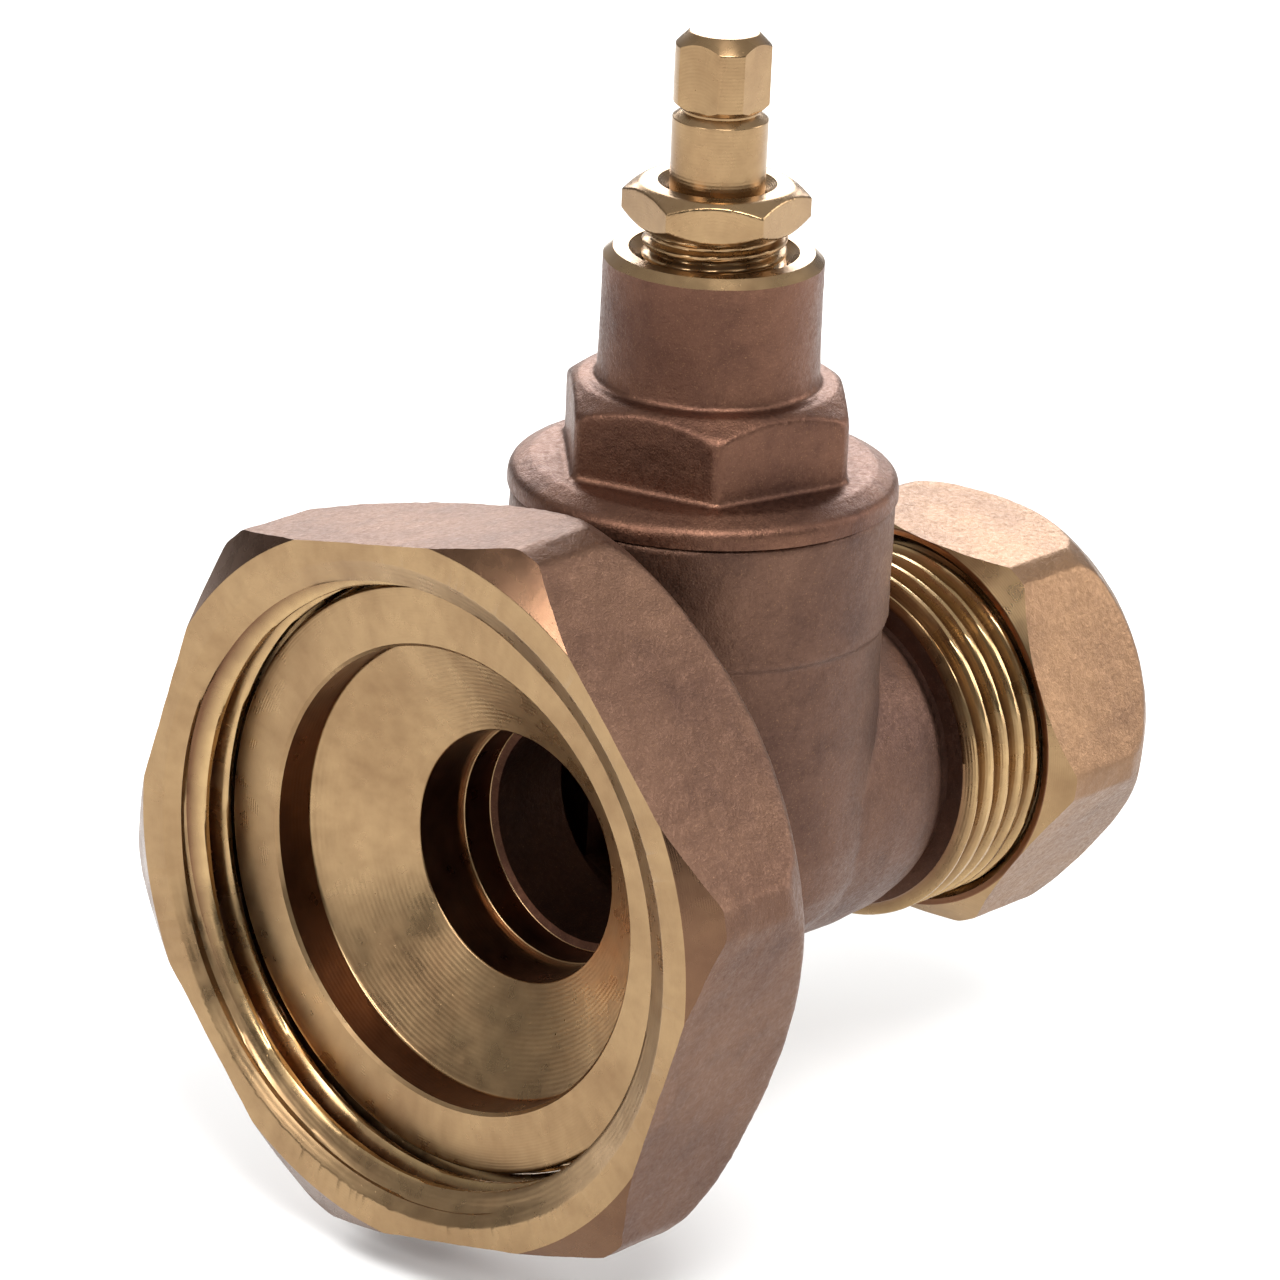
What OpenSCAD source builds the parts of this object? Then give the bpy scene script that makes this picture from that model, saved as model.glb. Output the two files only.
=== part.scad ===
// Gate-type lockshield valve for a circulator pump, 1 1/2 inch union nut to 22 mm compression.
// Millimetres. X is the flow line with the pump at -X and the pipe at +X, and Z is the spindle.
// The origin is the centre of the flat sealing face that the pump's washer presses on.
// Threads are drawn as rings of the true pitch and depth. The nuts and the gate that run on
// a thread have a plain wall just over its crests, so that they can slide along it.

/* [Pump union] */
// Distance from the pump's sealing face to the spindle axis
face_to_axis = 26; // [25:0.5:30]
// Radius of the union flange
flange_r = 22; // [21.8:0.05:22.1]
// Thickness of the union flange
flange_t = 2.4; // [2:0.1:2.6]
// Radius of the round recess in the flange
recess_r = 17.4; // [16.5:0.1:17.8]
// Depth of the recess before it funnels in
recess_depth = 3.5; // [3:0.1:4]
// Radius of the bore behind the funnel
inlet_r = 9.5; // [9.2:0.1:9.8]
// Radius of the waterway past the seats
waterway_r = 8.5; // [8:0.1:8.6]

/* [Union nut] */
// Size across the flats of the union nut
union_af = 52; // [51:0.5:54]
// Turn of its flats away from the vertical, in degrees
union_turn = -12.2; // [-30:0.1:30]
// Distance that its front stands ahead of the sealing face
union_front = 4.5; // [4:0.1:5]
// Length of the union nut
union_len = 14; // [14:0.1:14.4]
// Minor radius of the 1 1/2 inch parallel pipe thread
union_minor_r = 22.42; // [22.4:0.01:22.5]
// Major radius of that thread
union_major_r = 23.9; // [23.7:0.1:23.9]
// Pitch of that thread, 11 turns to the inch
union_pitch = 2.309; // [2.309]

/* [Pipe end] */
// Radius of the socket for the 22 mm pipe
pipe_r = 11.05; // [11.02:0.01:11.08]
// Crest radius of the compression thread
pipe_thread_r = 14; // [13.9:0.05:14.05]
// Pitch of that thread, 14 turns to the inch
pipe_pitch = 1.814; // [1.814]
// Distance from the spindle axis to the mouth of the pipe end
axis_to_mouth = 29.5; // [29.5:0.1:30]
// Size across the flats of the compression nut
compression_af = 30; // [30:0.5:31]
// Length of the compression nut
compression_len = 12.7; // [12.6:0.1:12.8]
// Turn of its flats away from the vertical, in degrees
compression_turn = 5.5; // [0:0.5:60]

/* [Barrel and bonnet] */
// Outer radius of the upright barrel
barrel_r = 14.2; // [14:0.1:14.4]
// Height of the joint between the body and the bonnet
joint_z = 24.3; // [24.3]
// Size across the flats of the bonnet's hexagon
bonnet_af = 20; // [20:0.5:21]
// Turn of the bonnet's flats about the spindle, in degrees
bonnet_turn = 15.5; // [0:0.5:60]
// Radius of the bonnet's neck
neck_r = 8.1; // [8:0.1:8.4]
// Height of the top of the neck
neck_top_z = 42.5; // [42.4:0.1:42.8]

/* [Spindle and gate] */
// Radius of the round spindle
spindle_r = 3.5; // [3.45:0.01:3.55]
// Size across the flats of the square end
square_af = 6.1; // [5.8:0.1:6.3]
// Turn of the square end about the spindle, in degrees
square_turn = 7; // [0:1:90]
// Height of the top of the spindle
spindle_top_z = 58.9; // [58.5:0.1:59.5]
// Size across the flats of the gland nut
gland_af = 12; // [12:0.5:13]
// Turn of the gland nut's flats about the spindle, in degrees
gland_turn = 40; // [0:1:60]
// Height that the gate rises from shut to open, 7 turns of the spindle
gate_lift = 17.5; // [17:0.1:17.5]
// Radius of the gate's disc
gate_r = 9.1; // [9:0.1:9.1]

/* [Hidden] */

round_fn = 96;                  // any number over 12 gives a true circle
cut = 0.1;                      // how far a cutter runs past a face
running_gap = 0.08;             // radial gap between a thread's crests and its plain mate
brass = [0.72, 0.58, 0.38];
forged = [0.55, 0.42, 0.32];

// Flow line
flange_back_x = flange_t;
cup_r = recess_r + 1.9;         // outside of the cup that holds the recess
cup_back_x = recess_depth + 1.1;
funnel_end_x = 7;               // where the funnel meets the inlet bore
seat_step_x = 11.4;             // where the inlet bore steps down to the seat's collar
seat_collar_end_x = 14.1;
seat_collar_r = 9.15;
mouth_x = face_to_axis + axis_to_mouth;
hub_end_x = face_to_axis + 17.2;
hub_end_r = 11.9;
thread_start_x = hub_end_x - 0.9;
thread_root_r = pipe_thread_r - 1.05;
thread_turns = 7;
pipe_stop_x = hub_end_x + 0.3;
cone_half_angle = 30;
cone_len = 2.9;                 // length of the coned mouth that the olive presses into
socket_len = mouth_x - cone_len - pipe_stop_x;

// Barrel and its cavity
cavity_r = 11.7;
cavity_floor_z = -9.5;
bottom_z = -11.5;               // lowest point of the body
barrel_step_z = 14.8;           // the forging is a little thinner below this line
lower_r = barrel_r - 0.45;
spigot_z = 17;                  // bottom of the bonnet's threaded spigot
spigot_r = 12.6;
spigot_bore_r = 11.1;
seat_boss_r = 10.7;
seat_gap = 0.05;                // between the shut gate and each seat
rib_w = 2.4;                    // guide ribs for the gate
rib_inner = 8.8;
rib_top_z = 15;

// Bonnet and gland, from the bottom up
collar_top_z = joint_z + 2.2;
hex_top_z = 32.7;
chamber_top_z = 32.6;
web_top_z = 34;                 // the spindle's collar stands on this web
collar_h = 1.6;
packing_z = web_top_z + collar_h + 0.1;
packing_ring_h = 1.25;
packing_rings = 2;
follower_z = packing_z + packing_rings * (packing_ring_h + 0.02) + 0.03;
follower_h = 0.85;
gland_z = follower_z + follower_h + 0.05;
gland_hex_z = 44.5;
gland_top_z = 47.6;
neck_bore_r = 5.4;
gland_thread_r = 5.3;
gland_pitch = 1;

// Gate
gate_half_t = 4.75;             // half thickness on the flow line
gate_taper = 0.5 / 9.5;         // how much the half thickness grows for each mm up
gate_head_w = 8.8;
gate_head_top = 14.6;           // above the disc's centre
gate_hole_r = spindle_r - 0.02;
gate_hole_bottom = -8.1;
spindle_thread_r = gate_hole_r - running_gap;
spindle_pitch = 2.5;
spindle_tip_z = 10;
spindle_turns = 8;

// Union nut and the ring that holds it
union_front_x = -union_front;
union_back_x = union_front_x + union_len;
union_corner_r = union_af / 2 * 1.135;  // forged corners are rounder than a true hexagon's
union_hole_r = flange_r + 0.3;
ring_t = 1.4;
ring_back_x = union_back_x - 1.05;
ring_front_x = ring_back_x - ring_t;
ring_inner_r = 20.7;
ring_outer_r = 23.4;
ring_split_deg = 24;

// Compression nut and olive
compression_x = face_to_axis + 24.1;
compression_back_x = compression_x + compression_len;
olive_x = mouth_x - 0.3;
olive_len = 6.2;
olive_r = 12.5;
olive_tip_r = 11.65;
olive_bevel = 1.5;

// A solid of revolution whose outline is a list of [radius, distance along the axis].
module turned(outline) rotate_extrude($fn = round_fn) polygon(outline);

// Lays a solid of revolution along the flow line.
module along_flow(x = 0) translate([x, 0, 0]) rotate([0, 90, 0]) children();

// Stands a solid on the spindle axis.
module on_spindle(z = 0) translate([face_to_axis, 0, z]) children();

// A hexagonal bar by its size across flats, with one flat's normal along +X.
module hex_bar(af, h) rotate([0, 0, 30]) cylinder(r = af / 2 / cos(30), h = h, $fn = 6);

// The wavy edge of a ring thread: each turn climbs from the root to the crest and back.
function ring_thread(root, crest, pitch, turns, from) = [
    for (i = [0 : turns - 1]) each [
        [root, from + (i + 0.1) * pitch],
        [crest, from + (i + 0.4) * pitch],
        [crest, from + (i + 0.6) * pitch],
        [root, from + (i + 0.9) * pitch]
    ]
];

// The space between the seats, cut on the same taper as the gate and a little wider.
module wedge(gap, low, high, w) {
    half = function(z) gate_half_t + gap + gate_taper * z;
    rotate([90, 0, 0])
        linear_extrude(height = w, center = true)
            polygon([[-half(low), low], [half(low), low], [half(high), high], [-half(high), high]]);
}

module body_outside() {
    // union flange, the cup behind it and the throat into the barrel
    along_flow() turned([
        [0, 0], [flange_r - 0.3, 0], [flange_r, 0.3], [flange_r, flange_back_x],
        [cup_r, flange_back_x], [cup_r, cup_back_x], [cup_r - 2.5, cup_back_x + 2.2],
        [12.9, 11.5], [12.4, face_to_axis - 8], [12.4, face_to_axis], [0, face_to_axis]
    ]);
    // upright barrel with its rounded bottom
    on_spindle() turned([
        [0, bottom_z], [4, bottom_z], [7.2, -10.7], [9.8, -9.2], [11.9, -7], [13.1, -4.8],
        [lower_r, -1.5], [lower_r, barrel_step_z - 0.4], [barrel_r - 0.1, barrel_step_z],
        [barrel_r, joint_z - 0.05], [0, joint_z - 0.05]
    ]);
    // hub on the pipe side, and the root of the compression thread
    along_flow() turned([
        [0, face_to_axis], [12.9, face_to_axis], [13, face_to_axis + 9], [12.8, face_to_axis + 12.5],
        [12.4, face_to_axis + 15.3], [hub_end_r, hub_end_x], [hub_end_r, thread_start_x],
        [0, thread_start_x]
    ]);
    along_flow() turned(concat(
        [[0, thread_start_x]],
        ring_thread(thread_root_r, pipe_thread_r, pipe_pitch, thread_turns, thread_start_x),
        [[thread_root_r, mouth_x], [0, mouth_x]]
    ));
}

module body_waterway() {
    along_flow() turned([
        [0, -cut], [recess_r, -cut], [recess_r, recess_depth], [inlet_r, funnel_end_x],
        [inlet_r, seat_step_x], [seat_collar_r, seat_step_x], [seat_collar_r, seat_collar_end_x],
        [waterway_r, seat_collar_end_x + 0.2], [waterway_r, pipe_stop_x], [pipe_r, pipe_stop_x],
        [pipe_r, mouth_x - cone_len],
        [pipe_r + (cone_len + cut) * tan(cone_half_angle), mouth_x + cut], [0, mouth_x + cut]
    ]);
}

module gate_ribs() {
    for (side = [-1, 1])
        intersection() {
            translate([-rib_w / 2, side * (rib_inner + 2.5) - 2.5, cavity_floor_z - 1])
                cube([rib_w, 5, rib_top_z - cavity_floor_z + 1]);
            cylinder(r = cavity_r + 1, h = 60, center = true, $fn = round_fn);
        }
}

// The gate's chamber: a round cavity with the seats' bosses and the guide ribs left standing.
module body_chamber() {
    difference() {
        on_spindle() turned([
            [0, cavity_floor_z], [5.2, cavity_floor_z], [9.5, -7], [11.2, -3.5], [cavity_r, -1],
            [cavity_r, spigot_z - 0.6], [0, spigot_z - 0.6]
        ]);
        difference() {
            along_flow() cylinder(r = seat_boss_r, h = mouth_x, $fn = round_fn);
            on_spindle() wedge(seat_gap, -30, 30, 60);
        }
        on_spindle() gate_ribs();
    }
    on_spindle(spigot_z - 0.7)
        cylinder(r = spigot_r + 0.05, h = joint_z, $fn = round_fn);
}

module valve_body() {
    color(forged) difference() {
        body_outside();
        body_waterway();
        body_chamber();
        // seat for the bonnet's gasket
        on_spindle(joint_z - 0.6) cylinder(r = 13.5, h = 2, $fn = round_fn);
    }
}

module bonnet() {
    color(forged) on_spindle() difference() {
        union() {
            turned([
                [0, spigot_z], [spigot_r - 0.5, spigot_z], [spigot_r, spigot_z + 0.5],
                [spigot_r, joint_z], [barrel_r + 0.1, joint_z], [barrel_r + 0.2, joint_z + 0.3],
                [barrel_r + 0.2, collar_top_z - 1.3], [barrel_r - 0.4, collar_top_z - 0.5],
                [barrel_r - 1.8, collar_top_z], [0, collar_top_z]
            ]);
            intersection() {
                rotate([0, 0, bonnet_turn]) hex_bar(bonnet_af, hex_top_z);
                turned([
                    [0, joint_z], [11.35, joint_z], [11.35, hex_top_z - 1.4],
                    [10.6, hex_top_z - 0.5], [9.4, hex_top_z], [0, hex_top_z]
                ]);
            }
            turned([
                [0, joint_z], [neck_r + 0.1, joint_z], [neck_r + 0.1, hex_top_z], [neck_r, hex_top_z + 3],
                [neck_r, neck_top_z - 0.7], [neck_r - 0.75, neck_top_z], [0, neck_top_z]
            ]);
        }
        // gate chamber, web hole, stuffing box and the dished mouth round the gland nut
        turned([
            [0, spigot_z - cut], [spigot_bore_r, spigot_z - cut], [spigot_bore_r, joint_z - 0.4],
            [8.3, collar_top_z - 0.2], [8.3, 27.3], [6.8, 28.8], [6.8, chamber_top_z],
            [spindle_thread_r + 0.35, chamber_top_z], [spindle_thread_r + 0.35, web_top_z],
            [neck_bore_r, web_top_z], [neck_bore_r, neck_top_z - 1],
            [6.3, neck_top_z + cut], [0, neck_top_z + cut]
        ]);
    }
}

module bonnet_gasket() {
    color([0.45, 0.32, 0.24]) on_spindle(joint_z - 0.58) difference() {
        cylinder(r = 13.45, h = 0.56, $fn = round_fn);
        translate([0, 0, -cut]) cylinder(r = spigot_r + 0.06, h = 2, $fn = round_fn);
    }
}

module spindle() {
    square_z = 53.6;
    groove_r = spindle_r - 0.65;
    color(brass) on_spindle() {
        difference() {
            turned(concat(
                [[0, spindle_tip_z], [spindle_thread_r - 0.9, spindle_tip_z]],
                ring_thread(spindle_thread_r - 0.75, spindle_thread_r, spindle_pitch,
                            spindle_turns, spindle_tip_z + 0.4),
                [
                    [spindle_thread_r - 0.75, 31], [spindle_thread_r - 0.3, 31.4],
                    [spindle_thread_r - 0.3, web_top_z + 0.05], [neck_bore_r - 0.3, web_top_z + 0.05],
                    [neck_bore_r - 0.3, web_top_z + 0.05 + collar_h],
                    [spindle_r, web_top_z + 0.05 + collar_h], [spindle_r, square_z - 1.15],
                    [groove_r, square_z - 0.65], [groove_r, square_z - 0.5], [spindle_r, square_z],
                    [spindle_r, spindle_top_z - 1], [spindle_r - 1, spindle_top_z], [0, spindle_top_z]
                ]
            ));
            // the four flats of the square end
            for (side = [0 : 3])
                rotate([0, 0, square_turn + 90 * side])
                    translate([square_af / 2, -10, square_z - 0.25])
                        cube([10, 20, 20]);
        }
    }
}

module gate() {
    slot_w = rib_w + 0.5;
    color(brass) on_spindle(gate_lift) difference() {
        union() {
            intersection() {
                rotate([0, 90, 0]) cylinder(r = gate_r, h = 40, center = true, $fn = round_fn);
                wedge(0, -gate_r - 1, gate_r + 1, 40);
            }
            translate([-gate_head_w / 2, -gate_head_w / 2, 4])
                cube([gate_head_w, gate_head_w, gate_head_top - 4]);
        }
        translate([0, 0, gate_hole_bottom])
            cylinder(r = gate_hole_r, h = 40, $fn = round_fn);
        for (side = [-1, 1])
            translate([-slot_w / 2, side * (rib_inner + 4.8) - 5, -20])
                cube([slot_w, 10, 40]);
    }
}

module gland_packing() {
    color([0.9, 0.9, 0.87]) on_spindle()
        for (i = [0 : packing_rings - 1])
            translate([0, 0, packing_z + i * (packing_ring_h + 0.02)]) difference() {
                cylinder(r = neck_bore_r - 0.05, h = packing_ring_h, $fn = round_fn);
                translate([0, 0, -cut]) cylinder(r = spindle_r + 0.03, h = 5, $fn = round_fn);
            }
}

module gland_follower() {
    color(brass) on_spindle(follower_z) difference() {
        cylinder(r = neck_bore_r - 0.15, h = follower_h, $fn = round_fn);
        translate([0, 0, -cut]) cylinder(r = spindle_r + 0.1, h = 5, $fn = round_fn);
    }
}

module gland_nut() {
    hex_corner_r = gland_af / 2 / cos(30);
    root_r = gland_thread_r - 0.5;
    thread_len = gland_hex_z - gland_z;
    color(brass) on_spindle() difference() {
        union() {
            turned(concat(
                [[0, gland_z], [root_r, gland_z]],
                ring_thread(root_r, gland_thread_r, gland_pitch, floor(thread_len / gland_pitch), gland_z),
                [[root_r, gland_hex_z + cut], [0, gland_hex_z + cut]]
            ));
            intersection() {
                translate([0, 0, gland_hex_z]) rotate([0, 0, gland_turn])
                    hex_bar(gland_af, gland_top_z - gland_hex_z);
                turned([
                    [0, gland_hex_z], [hex_corner_r - 1.1, gland_hex_z], [hex_corner_r, gland_hex_z + 0.8],
                    [hex_corner_r, gland_top_z - 0.9], [hex_corner_r - 1.4, gland_top_z], [0, gland_top_z]
                ]);
            }
        }
        // spindle hole, dished at the top
        turned([
            [0, gland_z - cut], [spindle_r + 0.1, gland_z - cut], [spindle_r + 0.1, gland_top_z - 0.7],
            [spindle_r + 0.95, gland_top_z + cut], [0, gland_top_z + cut]
        ]);
    }
}

module union_nut() {
    lead_in_r = 24.85;
    lead_in = (lead_in_r - union_minor_r) * 0.55;
    thread_turns = 4;
    thread_x = union_front_x + lead_in;
    color(brass) difference() {
        // hexagon with a coned front, round corners and a coned back
        intersection() {
            along_flow(union_front_x) rotate([0, 0, union_turn]) hex_bar(union_af, union_len);
            along_flow() turned([
                [0, union_front_x], [26.85, union_front_x], [28.9, union_front_x + 1.3],
                [union_corner_r, union_front_x + 2.6], [union_corner_r, union_back_x - 5.2],
                [28.3, union_back_x - 3], [25.4, union_back_x], [0, union_back_x]
            ]);
        }
        // thread, the groove for the retaining ring and the hole in the back
        along_flow() turned(concat(
            [
                [0, union_front_x - cut], [lead_in_r, union_front_x - cut], [lead_in_r, union_front_x],
                [union_minor_r, thread_x]
            ],
            ring_thread(union_minor_r, union_major_r, union_pitch, thread_turns, thread_x),
            [
                [union_minor_r, ring_front_x - 0.05], [ring_outer_r + 0.15, ring_front_x - 0.05],
                [ring_outer_r + 0.15, ring_back_x + 0.05], [union_hole_r, ring_back_x + 0.05],
                [union_hole_r, union_back_x - 0.4], [union_hole_r + 0.5, union_back_x + cut],
                [0, union_back_x + cut]
            ]
        ));
    }
}

module nut_retaining_ring() {
    color([0.62, 0.62, 0.6]) along_flow(ring_front_x) difference() {
        cylinder(r = ring_outer_r, h = ring_t, $fn = round_fn);
        translate([0, 0, -cut]) cylinder(r = ring_inner_r, h = 5, $fn = round_fn);
        // the split that lets the ring spring into its groove
        translate([0, 0, -cut]) linear_extrude(height = 5)
            polygon([[0, 0], [40, -40 * tan(ring_split_deg / 2)], [40, 40 * tan(ring_split_deg / 2)]]);
    }
}

module compression_nut() {
    bore_r = pipe_thread_r + running_gap;
    face_r = 15;
    rounded_r = 16.8;               // the forged corners are rounder than a true hexagon's
    seat_x = olive_x + olive_len;
    color(brass) difference() {
        intersection() {
            along_flow(compression_x) rotate([0, 0, compression_turn])
                hex_bar(compression_af, compression_len);
            along_flow() turned([
                [0, compression_x], [face_r, compression_x], [rounded_r, compression_x + 1.6],
                [rounded_r, compression_back_x - 4.2], [rounded_r - 0.5, compression_back_x - 2.6],
                [rounded_r - 1.3, compression_back_x - 1], [rounded_r - 2.3, compression_back_x],
                [0, compression_back_x]
            ]);
        }
        along_flow() turned([
            [0, compression_x - cut], [bore_r + 0.5, compression_x - cut], [bore_r, compression_x + 0.5],
            [bore_r, seat_x - 2.6], [olive_r + 0.3, seat_x - 2.1], [olive_r + 0.3, seat_x - olive_bevel],
            [olive_tip_r + 0.2, seat_x + 0.1], [pipe_r + 0.4, seat_x + 0.1],
            [pipe_r + 0.4, compression_back_x + cut], [0, compression_back_x + cut]
        ]);
    }
}

module olive() {
    color([0.8, 0.68, 0.42]) along_flow(olive_x) turned([
        [pipe_r + 0.01, 0], [olive_tip_r, 0], [olive_r, olive_bevel],
        [olive_r, olive_len - olive_bevel], [olive_tip_r, olive_len], [pipe_r + 0.01, olive_len]
    ]);
}

valve_body();
bonnet();
bonnet_gasket();
spindle();
gate();
gland_packing();
gland_follower();
gland_nut();
union_nut();
nut_retaining_ring();
compression_nut();
olive();
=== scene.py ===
"""Looks of the lockshield pump valve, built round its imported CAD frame.

Every shape is worked out in millimetres in the CAD's frame (X along the flow line from the pump
to the pipe, Z up the spindle, origin on the flange's sealing face) and scaled to metres at the
end. Forged skins are voxel-blended solids. Machined faces are turned profiles and helical
threads, joined to the skins or cut into them with booleans.
"""
import math

import bmesh
import bpy
import numpy as np
from mathutils import Matrix, Vector, noise


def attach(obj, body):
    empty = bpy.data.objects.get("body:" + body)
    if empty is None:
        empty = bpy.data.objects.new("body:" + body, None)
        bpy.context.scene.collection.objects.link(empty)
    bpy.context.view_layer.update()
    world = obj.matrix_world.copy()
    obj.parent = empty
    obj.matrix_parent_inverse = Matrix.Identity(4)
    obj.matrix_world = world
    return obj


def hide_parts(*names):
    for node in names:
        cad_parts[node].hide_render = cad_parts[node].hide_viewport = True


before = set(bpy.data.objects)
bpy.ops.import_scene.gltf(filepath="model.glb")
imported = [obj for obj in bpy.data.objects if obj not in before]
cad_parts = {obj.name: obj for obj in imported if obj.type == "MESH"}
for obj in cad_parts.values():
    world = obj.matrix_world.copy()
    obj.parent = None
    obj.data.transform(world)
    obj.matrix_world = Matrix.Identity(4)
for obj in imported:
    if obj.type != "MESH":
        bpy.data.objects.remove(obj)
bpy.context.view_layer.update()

MM = 0.001
SEGMENTS = 240                  # round the flow line
SPINDLE_SEGMENTS = 128          # round the spindle
THREAD_ROWS = 16                # rows of vertices for each turn of a thread
SHARP_DEG = 32                  # edges sharper than this stay crisp


# ---------------------------------------------------------------- sizes, in millimetres

# Body, from the pump to the pipe
FACE_TO_AXIS = 26.0             # sealing face to spindle axis
FLANGE_R = 22.0
FLANGE_T = 2.4
FLANGE_STEP_R = 18.6            # turned step behind the flange
FLANGE_STEP_X = FLANGE_T + 0.4
RECESS_R = 17.4                 # room for the pump's washer
RECESS_DEPTH = 3.5
INLET_R = 9.5
FUNNEL_END_X = 7.0
SEAT_R = 9.15                   # collar of the seat in the inlet
SEAT_STEP_X = 11.4
SEAT_END_X = 14.1
WATERWAY_R = 8.5
HUB_R = 12.9
HUB_END_R = 11.9
HUB_END_X = 43.2
PIPE_THREAD_R = 14.0
PIPE_THREAD_ROOT = 12.95
PIPE_PITCH = 1.814
THREAD_START_X = 42.5
MOUTH_X = 55.5
PIPE_R = 11.05
PIPE_STOP_X = 43.5
CONE_LEN = 2.9
CONE_SLOPE = 0.577              # the mouth opens 30 degrees on each side

# Body, round the spindle
BARREL_R = 14.2
BARREL_STEP_Z = 14.8            # the barrel is a little thinner below this
LOWER_R = 13.75
BOTTOM_Z = -11.5
JOINT_Z = 24.3                  # between body and bonnet
CHAMBER_R = 11.7
CHAMBER_FLOOR_Z = -9.5
SPIGOT_ROOM_R = 12.65
SPIGOT_ROOM_Z = 16.3
SEAT_BOSS_R = 10.7              # the bosses that carry the two seats
GATE_SLOT_HALF = 4.8            # half the gap between them, at the flow line
GATE_TAPER = 0.5 / 9.5
GUIDE_HALF_T = 1.2              # the two ribs that guide the gate
GUIDE_IN_Y = 8.8
GUIDE_OUT_Y = 13
GUIDE_LOW_Z = -12.2
GUIDE_TOP_Z = 15

# Union nut and its retaining ring
UNION_AF = 52.0
UNION_TURN = -12.2              # degrees
UNION_FRONT_X = -4.5
UNION_BACK_X = 9.5
UNION_CORNER_R = 29.4
UNION_FACE_R = 26.85
UNION_BACK_R = 25.4
UNION_MINOR_R = 22.42
UNION_MAJOR_R = 23.85
UNION_PITCH = 2.309
UNION_LEAD_R = 24.85            # the cone that leads into the thread
UNION_LEAD_X = -3.16
UNION_HOLE_R = 22.3
RING_X0 = 7.05
RING_X1 = 8.45
RING_IN_R = 20.7
RING_OUT_R = 23.4
RING_GROOVE_R = RING_OUT_R + 0.15
RING_SPLIT_R = 22               # where the split is measured
RING_SPLIT_DEG = 24

# Compression nut and olive
NUT_AF = 30.0
NUT_TURN = 5.5                  # degrees
NUT_CORNER_R = 16.8             # the forged corners are rounder than a true hexagon's
NUT_FACE_R = 15
NUT_X0 = 50.1
NUT_X1 = 62.8
NUT_BORE_R = 14.08
NUT_BORE_END_X = 58.8
NUT_HOLE_R = 11.45
OLIVE_X0 = 55.2
OLIVE_X1 = 61.4
OLIVE_R = 12.5
OLIVE_TIP_R = 11.65
OLIVE_ROOM_R = 12.8

# Bonnet
COLLAR_TOP_Z = 26.5
HEX_TOP_Z = 32.7
NECK_TOP_Z = 42.5
NECK_R = 8.1
NECK_CHAMFER_Z = NECK_TOP_Z - 0.62
BONNET_AF = 20.0
BONNET_TURN = 15.5              # degrees
BONNET_CORNER_R = 11.35
SPIGOT_R = 12.6
SPIGOT_LOW_Z = 17
PACKING_ROOM_R = 5.4
PACKING_FLOOR_Z = 34

# Spindle and gland nut
SPINDLE_R = 3.5
SPINDLE_LOW_Z = 31
SPINDLE_TOP_Z = 58.9
SPINDLE_COLLAR_R = 5.1
SPINDLE_COLLAR_Z0 = 34.05
SPINDLE_COLLAR_Z1 = 35.65
GROOVE_DEPTH = 0.65
SQUARE_Z = 53.6
SQUARE_AF = 6.1
SQUARE_TURN = 7.0               # degrees
LIFT_ROOT_R = 2.65              # the hidden thread that lifts the gate
LIFT_CREST_R = 3.4
LIFT_PITCH = 2.5
LIFT_Z0 = 10
LIFT_Z1 = 31.2
GLAND_AF = 12.0
GLAND_TURN = 40.0               # degrees
GLAND_Z0 = 39.19
GLAND_HEX_Z = 44.5
GLAND_TOP_Z = 47.6
GLAND_ROOT_R = 4.8
GLAND_CREST_R = 5.3
GLAND_PITCH = 1.0


# ---------------------------------------------------------------- meshes

def new_object(name, vertices, faces):
    mesh = bpy.data.meshes.new(name)
    mesh.from_pydata([tuple(v) for v in vertices], [], [tuple(f) for f in faces])
    mesh.validate()
    obj = bpy.data.objects.new(name, mesh)
    bpy.context.scene.collection.objects.link(obj)
    return obj


def rounded(points, steps=5):
    """An outline with its corners rounded: a point is (radius, height) or (radius, height, fillet)."""
    out = []
    for i, point in enumerate(points):
        here = Vector(point[:2])
        fillet = point[2] if len(point) > 2 else 0
        if not fillet or i in (0, len(points) - 1):
            out.append(tuple(here))
            continue
        before = Vector(points[i - 1][:2]) - here
        after = Vector(points[i + 1][:2]) - here
        half = before.angle(after) / 2
        reach = min(fillet / math.tan(half), before.length * 0.48, after.length * 0.48)
        start = here + before.normalized() * reach
        end = here + after.normalized() * reach
        for k in range(steps + 1):
            t = k / steps
            out.append(tuple((1 - t) ** 2 * start + 2 * t * (1 - t) * here + t ** 2 * end))
    return out


def revolve(name, outline, segments=SEGMENTS):
    """A solid of revolution about Z. The outline starts and ends on the axis."""
    vertices = []
    rings = []
    for r, z in outline:
        if r < 1e-9:
            rings.append([len(vertices)])
            vertices.append((0, 0, z))
            continue
        rings.append(list(range(len(vertices), len(vertices) + segments)))
        for k in range(segments):
            a = 2 * math.pi * k / segments
            vertices.append((r * math.cos(a), r * math.sin(a), z))
    faces = []
    for low, high in zip(rings, rings[1:]):
        for k in range(segments):
            n = (k + 1) % segments
            if len(low) == 1 and len(high) == 1:
                continue
            if len(low) == 1:
                faces.append((low[0], high[n], high[k]))
            elif len(high) == 1:
                faces.append((low[k], low[n], high[0]))
            else:
                faces.append((low[k], low[n], high[n], high[k]))
    return face_outward(new_object(name, vertices, faces))


def face_outward(obj):
    mesh = bmesh.new()
    mesh.from_mesh(obj.data)
    bmesh.ops.recalc_face_normals(mesh, faces=mesh.faces)
    if mesh.calc_volume(signed=True) < 0:
        bmesh.ops.reverse_faces(mesh, faces=mesh.faces)
    mesh.to_mesh(obj.data)
    mesh.free()
    return obj


def corner_radius(af):
    """The radius at the corners of a hexagon, from its size across the flats."""
    return af / 2 / math.cos(math.pi / 6)


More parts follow.
